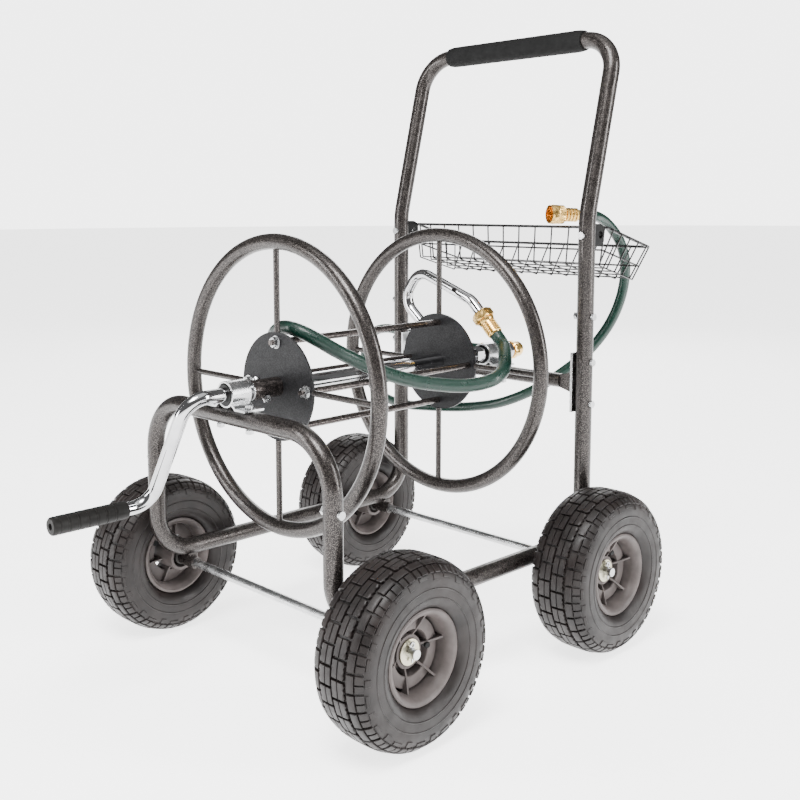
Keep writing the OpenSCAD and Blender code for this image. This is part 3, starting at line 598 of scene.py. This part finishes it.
def block(bm, profile, around, across, height, wavy=0.0):
    """Tread block over an angle range and an arc range; wavy zigzags its far edge."""
    cols, rows = 6, 3
    edge = 0.5
    outward = 1 if across[1] > across[0] else -1

    def spot(u, v, rise, shrink):
        start, end = across
        end += wavy * outward * (1 if round(u * cols) % 2 else -1)
        s = start + (end - start) * v + shrink * (0.5 - v) * 2 * outward
        a = around[0] + (around[1] - around[0]) * u + shrink * (0.5 - u) * 2 / TREAD_TOP
        r, z, nr, nz = carcass_point(profile, s)
        r += nr * rise
        return bm.verts.new(Vector((r * math.cos(a), r * math.sin(a), z + nz * rise)))

    def grid(rise, shrink):
        return [[spot(i / cols, j / rows, rise, shrink) for i in range(cols + 1)] for j in range(rows + 1)]

    def border(g):
        right = [g[j][-1] for j in range(1, rows + 1)]
        left = [g[j][0] for j in range(rows - 1, 0, -1)]
        return g[0] + right + g[-1][-2::-1] + left

    def cover(quad):
        bm.faces.new(quad if outward > 0 else quad[::-1])

    top = grid(height, edge)
    foot = grid(-0.4, -0.3)
    shoulder = grid(height - edge, 0)
    for g in (foot, shoulder):
        for j in range(1, rows):
            for i in range(1, cols):
                bm.verts.remove(g[j][i])
    for j in range(rows):
        for i in range(cols):
            cover((top[j][i], top[j][i + 1], top[j + 1][i + 1], top[j + 1][i]))
    for low, high in ((border(foot), border(shoulder)), (border(shoulder), border(top))):
        for k in range(len(low)):
            j = (k + 1) % len(low)
            cover((low[k], low[j], high[j], high[k]))


def tyre_shape():
    """Carcass with staggered tread blocks, shoulder lugs and two thin ridges on each wall."""
    bm = bmesh.new()
    profile = carcass_profile()
    half = [p for p in profile if p[0] > BEAD_R + 0.2]
    ring = [(r, -z) for r, z in reversed(half[1:])] + half
    lathe(bm, ring + [(BEAD_R, 34), (BEAD_R - 1, 0), (BEAD_R, -34)], steps=120, closed=True)
    pitch = 2 * math.pi / PITCHES
    mm = 1 / TREAD_TOP
    tread = TREAD_TOP - CROWN_R
    shoulder, lug, tooth = 3.4, 2.3, 1.1
    for i in range(PITCHES):
        for side in (1, -1):
            a = i * pitch + (pitch / 2 if side < 0 else 0)
            b = a + pitch / 2
            block(bm, profile, (a, a + pitch - 3.2 * mm), (side * 1.3, side * 9.6), tread)
            block(bm, profile, (a, a + pitch - 3.2 * mm), (side * 10.8, side * 19.5), tread, wavy=0.7)
            block(bm, profile, (b, b + pitch - 3.4 * mm), (side * 23, side * 32), shoulder)
            block(bm, profile, (b, b + pitch * 0.42), (side * 33.2, side * 43), lug)
            block(bm, profile, (b + pitch * 0.5, b + pitch - 4 * mm), (side * 33.2, side * 43), lug)
            if i % 2:
                block(bm, profile, (b + 2 * mm, b + pitch * 0.75), (side * 44.2, side * 49), tooth)
            else:
                block(bm, profile, (b + pitch * 0.2, b + pitch * 0.6), (side * 44.2, side * 52), tooth)
    for side in (1, -1):
        for s in RIDGES:
            r, z, nr, nz = carcass_point(profile, side * s)
            ridge = [(r + 1.2 * nz, z - 1.2 * nr), (r + 0.8 * nr, z + 0.8 * nz), (r - 1.2 * nz, z + 1.2 * nr),
                     (r - 0.6 * nr, z - 0.6 * nz)]
            lathe(bm, ridge if side < 0 else ridge[::-1], steps=120, closed=True)
    return bm


def wheel_matrix(fx, fy):
    """Matrix at a wheel's middle whose +Z points out of the cart."""
    low, high = (Vector(c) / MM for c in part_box(f"tyre_{wheel_name(fx, fy)}"))
    return facing((low + high) / 2, fy * Y)


def wheel_name(fx, fy):
    return next(name for name, signs in CORNERS.items() if signs == (fx, fy))


def rim_shape():
    """Dished rim: rolled lips, tapered barrel, hub, and a raised ring between two deep recesses."""
    bm = bmesh.new()
    lip = [(54.5, 24), (57, 28.5), (59.6, 31.5), (60.8, 34), (60.2, 35.9), (58, 36.8), (55, 36.2),
           (52.4, 33.8), (50.4, 30.4), (49, 27)]
    barrel = [(48.2, 24), (47.9, 6), (47.4, -12)]
    inner = [(48, -24), (50, -30), (55, -34.5), (58.4, -33.5), (58.7, -31), (56.5, -27), (54.5, -24)]
    lathe(bm, lip + barrel + inner, steps=96, closed=True)
    lathe(bm, [(16, -45), (20.5, -45), (21, -20), (21.8, 8), (21.2, 10), (16, 10)], steps=64, closed=True)
    web = [(29, -10), (47.9, -7), (47.9, -3), (44.6, -3), (44.6, 13.6), (43.9, 14.6), (29.8, 14.6),
           (29, 13.6)]
    lathe(bm, web, steps=96, closed=True)
    ribs = 6
    section = [(20, 9.4), (30, 15.6), (48.4, 24), (48.2, -12), (30, -16), (20, -20)]
    for i in range(ribs):
        turn = Matrix.Rotation(2 * math.pi * i / ribs, 4, "Z")
        front = [bm.verts.new(turn @ Vector((r, RIB_HALF, z))) for r, z in section]
        back = [bm.verts.new(turn @ Vector((r, -RIB_HALF, z))) for r, z in section]
        bm.faces.new(front[::-1])
        bm.faces.new(back)
        bridge(bm, front, back)
    return bm


def valve_shape():
    """Short rubber valve leaning out of the rim."""
    bm = bmesh.new()
    place = Matrix.Rotation(math.radians(52), 4, "Z") @ Matrix.Translation((33, 0, -6)) \
        @ Matrix.Rotation(math.radians(-14), 4, "Y")
    lathe(bm, [(0, -8), (5.5, -8), (5.2, 0), (3.9, 3), (3.6, 14), (4.1, 14.6), (4.1, 22), (3.4, 23), (0, 23)],
          place, 24)
    return bm


def copy_of(bm, place):
    twin = bm.copy()
    twin.transform(place)
    return twin


def make_wheels():
    tyre, rim, valve = tyre_shape(), rim_shape(), valve_shape()
    for name, (fx, fy) in CORNERS.items():
        body = f"wheel_{name}"
        place = wheel_matrix(fx, fy) @ Matrix.Rotation(math.radians(31 * fx + 17 * fy), 4, "Z")
        piece(f"treaded_{name}", copy_of(tyre, place), TYRE, body, f"tyre_{name}", sharp=40)
        piece(f"dished_{name}", copy_of(rim, place), RIM, body, f"rim_{name}")
        piece(f"valve_{name}", copy_of(valve, place), VALVE, body)
    for bm in (tyre, rim, valve):
        bm.free()


# ---- Basket ----

BASKET_TILT = math.radians(16)
BASKET_DEPTH = 131
BASKET_HEIGHT = 70
RIM_WIRE_R = 2.3
RAIL_WIRE_R = 1.5
MESH_WIRE_R = 1.25


def make_basket():
    """Wire basket hung from the clips, tilted back."""
    low, high = (Vector(c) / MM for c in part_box("basket"))
    tilt, depth, height, taper = BASKET_TILT, BASKET_DEPTH, BASKET_HEIGHT, 10
    front = low.x + height * math.sin(tilt) - taper * math.cos(tilt)
    place = Matrix.Translation((front, 0, high.z)) @ Matrix.Rotation(tilt, 4, "Y")
    half = (high.y - low.y) / 2
    bm = bmesh.new()

    def lay(corners, radius, bend, closed=False):
        points = [place @ p for p in rounded([Vector(c) for c in corners], bend, closed)]
        tube(bm, points, radius, 8, closed)

    def loop(z, radius, bend):
        t = -z * taper / height
        lay([(t, -half + t, z), (depth - t, -half + t, z), (depth - t, half - t, z), (t, half - t, z)],
            radius, bend, True)

    loop(-RIM_WIRE_R, RIM_WIRE_R, 5)
    loop(-height / 2 - 1, RAIL_WIRE_R, 8)
    rows = 12
    for i in range(rows + 1):
        y = (half - taper - 6) * (2 * i / rows - 1)
        top = y * half / (half - taper)
        lay([(0, top, -1.5), (taper, y, -height + 1.2), (depth - taper, y, -height + 1.2),
             (depth, top, -1.5)], MESH_WIRE_R, 10)
    lines = 5
    for i in range(lines):
        x = taper + (depth - 2 * taper) * (i + 0.5) / lines
        top = depth / 2 + (x - depth / 2) * 1.12
        lay([(top, -half, -1.5), (x, -half + taper, -height + 3.2), (x, half - taper, -height + 3.2),
             (top, half, -1.5)], MESH_WIRE_R, 10)
    piece("wire_basket", bm, WIRE, "frame", "basket")


# ---- Bearings ----

BAND_R = 18
BAND_SHEET = 2.9
FOOT_RISE = 6
BUSH_HOLE_R = 9.8


def make_bearing(side):
    """Rolled steel band with flat feet, standing on its tube around a black bush."""
    low, high = (Vector(c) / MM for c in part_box(f"{side}_bearing_strap"))
    half = (high.x - low.x) / 2
    middle = Vector(((low.x + high.x) / 2, 0, high.z - BAND_R))
    place = facing(middle, X)
    inner = BAND_R - BAND_SHEET
    bm = bmesh.new()
    lathe(bm, [(inner, 0.6 - half), (inner + 0.6, -half), (BAND_R - 0.6, -half), (BAND_R, 0.6 - half),
               (BAND_R, half - 0.6), (BAND_R - 0.6, half), (inner + 0.6, half), (inner, half - 0.6)],
          place, 64, closed=True)
    foot = low.z + FOOT_RISE
    root = math.radians(-38)
    for turn in (1, -1):
        over = [
            Vector((0, turn * BAND_R * math.cos(root), middle.z + BAND_R * math.sin(root))),
            Vector((0, turn * (BAND_R + 1.2), foot + 2.6)),
            Vector((0, turn * (BAND_R + 4), foot)),
            Vector((0, turn * high.y, foot)),
        ]
        under = [
            over[0] - turn * Y * 2 - Z * 1.5,
            over[1] - turn * Y * 2.6 - Z * 1.6,
            over[2] - turn * Y * 1.4 - Z * BAND_SHEET,
            over[3] - Z * BAND_SHEET,
        ]
        outline = over + under[::-1]
        near = [bm.verts.new(p + X * (middle.x - half)) for p in outline]
        far = [bm.verts.new(p + X * (middle.x + half)) for p in outline]
        bridge(bm, near, far)
        bm.faces.new(near[::-1])
        bm.faces.new(far)
    bmesh.ops.recalc_face_normals(bm, faces=bm.faces)
    piece(f"{side}_bearing_band", bm, ZINC, "frame", f"{side}_bearing_strap")
    seat = inner - 0.15
    reach = half + 1
    bm = bmesh.new()
    lathe(bm, [(BUSH_HOLE_R, -reach), (13.9, -reach), (14.6, 0.7 - reach), (seat, 1 - reach),
               (seat, reach - 1), (14.6, reach - 0.7), (13.9, reach), (BUSH_HOLE_R, reach)],
          place, 64, closed=True)
    piece(f"{side}_bearing_bush_detail", bm, CLIP, "frame", f"{side}_bearing_bush")


# ---- Grips ----

BAR_R = 12.8


def make_foam():
    """Foam sleeve along the handle bar, slightly uneven, with turned-in ends."""
    low, high = (Vector(c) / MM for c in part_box("handle_grip"))
    centre = (low + high) / 2
    radius = (high.z - low.z) / 2
    half = (high.y - low.y) / 2
    count = 40
    points = [Vector((centre.x, -half + 2 * half * k / count, centre.z)) for k in range(count + 1)]
    bm = bmesh.new()

    def size(i):
        near = min(i, count - i)
        return radius - (1.5 if near == 0 else 0.35 if near == 1 else 0.12 * math.sin(i * 1.9))

    rows = []
    for i, point in enumerate(points):
        rows.append([
            bm.verts.new(point + size(i) * Vector((math.cos(a), 0, math.sin(a))))
            for a in (2 * math.pi * k / 40 for k in range(40))
        ])
    for low_row, high_row in zip(rows, rows[1:]):
        bridge(bm, low_row[::-1], high_row[::-1])
    for row in (rows[0], rows[-1]):
        eye = sum((v.co for v in row), Vector()) / len(row)
        inner = [bm.verts.new(eye + (v.co - eye).normalized() * BAR_R) for v in row]
        if row is rows[0]:
            bridge(bm, row, inner)
        else:
            bridge(bm, inner, row)
    piece("foam_sleeve", bm, FOAM, "frame", "handle_grip")


def make_crank_grip():
    """Tapered plastic grip with shallow finger rings and a recessed screw."""
    low, high = (Vector(c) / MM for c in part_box("crank_grip"))
    centre = (low + high) / 2
    long = high.x - low.x
    r = (high.z - low.z) / 2
    place = facing(Vector((high.x, centre.y, centre.z)), -X)
    outline = [(6.1, 0), (r - 1.6, 0), (r - 0.6, 1.2)]
    for i in range(7):
        z = 8 + i * 13.5
        outline += [(r - 0.3, z), (r - 0.2, z + 10.8), (r - 0.9, z + 11.4), (r - 0.9, z + 12.6)]
    outline += [(r - 0.1, long - 6), (r - 0.6, long - 1.5), (r - 2.2, long), (4.6, long), (4.3, long - 1),
                (4.3, long - 8.6), (6.1, long - 8.6)]
    bm = bmesh.new()
    lathe(bm, outline, place, 48, closed=True)
    piece("ribbed_grip", bm, GRIP, "grip", "crank_grip")


# ---- CAD nodes that keep their shape ----

def dress_cad():
    """Gives each carried-over CAD node its material."""
    by_slot = {slot: mat for mat, slot in SLOTS.items() if mat is not VALVE}
    slots = {s["node"]: s["material_slot"] for s in frame["record"]["subparts"]}
    for name, obj in frame["nodes"].items():
        obj.data.materials.clear()
        obj.data.materials.append(by_slot[slots[name]])


# ---- Stage ----

def make_stage():
    """Wide round studio floor."""
    bm = bmesh.new()
    lathe(bm, [(0, 0), (3000, 0), (9000, 0), (24000, 0)], steps=96)
    mesh = bpy.data.meshes.new("floor")
    bm.to_mesh(mesh)
    bm.free()
    mesh.transform(Matrix.Scale(MM, 4))
    mesh.materials.append(floor_paint())
    floor = bpy.data.objects.new("floor", mesh)
    bpy.context.collection.objects.link(floor)


def softbox(name, place, aim, size, power):
    """Rectangular lamp at place, turned to face aim."""
    light = bpy.data.lights.new(name, "AREA")
    light.shape = "RECTANGLE"
    light.size, light.size_y = size
    light.energy = power
    obj = bpy.data.objects.new(name, light)
    bpy.context.collection.objects.link(obj)
    obj.location = place
    obj.rotation_euler = (Vector(aim) - Vector(place)).to_track_quat("-Z", "Y").to_euler()


def make_lights():
    """Wide overhead light, softboxes for the highlights, and a white backdrop behind dim ambient light."""
    middle = (0, 0, 0.4)
    softbox("key", (-1.3, -0.7, 2.8), middle, (1.2, 1.2), 150)
    softbox("left", (-2.6, 1.4, 1.2), middle, (0.5, 2.2), 70)
    softbox("right", (1.4, -2.8, 1.3), middle, (0.5, 2.2), 110)
    softbox("back", (2.6, 2.2, 1.8), middle, (1.6, 1.6), 60)
    sun = bpy.data.lights.new("overhead", "SUN")
    sun.angle = math.radians(70)
    sun.energy = 1.3
    above = bpy.data.objects.new("overhead", sun)
    above.rotation_euler = (math.radians(12), math.radians(-8), 0)
    bpy.context.collection.objects.link(above)
    world = bpy.data.worlds.new("studio")
    bpy.context.scene.world = world
    world.use_nodes = True
    nodes = world.node_tree.nodes
    seen = nodes.new("ShaderNodeLightPath")
    strength = nodes.new("ShaderNodeMapRange")
    strength.inputs["To Min"].default_value = 0.2
    strength.inputs["To Max"].default_value = 4.5
    nodes["Background"].inputs["Color"].default_value = (1, 1, 1, 1)
    world.node_tree.links.new(seen.outputs["Is Camera Ray"], strength.inputs["Value"])
    world.node_tree.links.new(strength.outputs["Result"], nodes["Background"].inputs["Strength"])


dress_cad()
drum_end = make_drum_end()
leader_ends = [make_leader_tail(), make_leader_nut()]
make_hose("drum_hose", DRUM_ROUTE, DRUM_R, HOSE, "reel")
make_hose("leader_hose", LEADER_ROUTE, LEADER_R, LEADER, "frame")
make_outlet()
make_plug()
make_wheels()
make_basket()
for end in ("front", "rear"):
    make_bearing(end)
make_foam()
make_crank_grip()
make_stage()
make_lights()
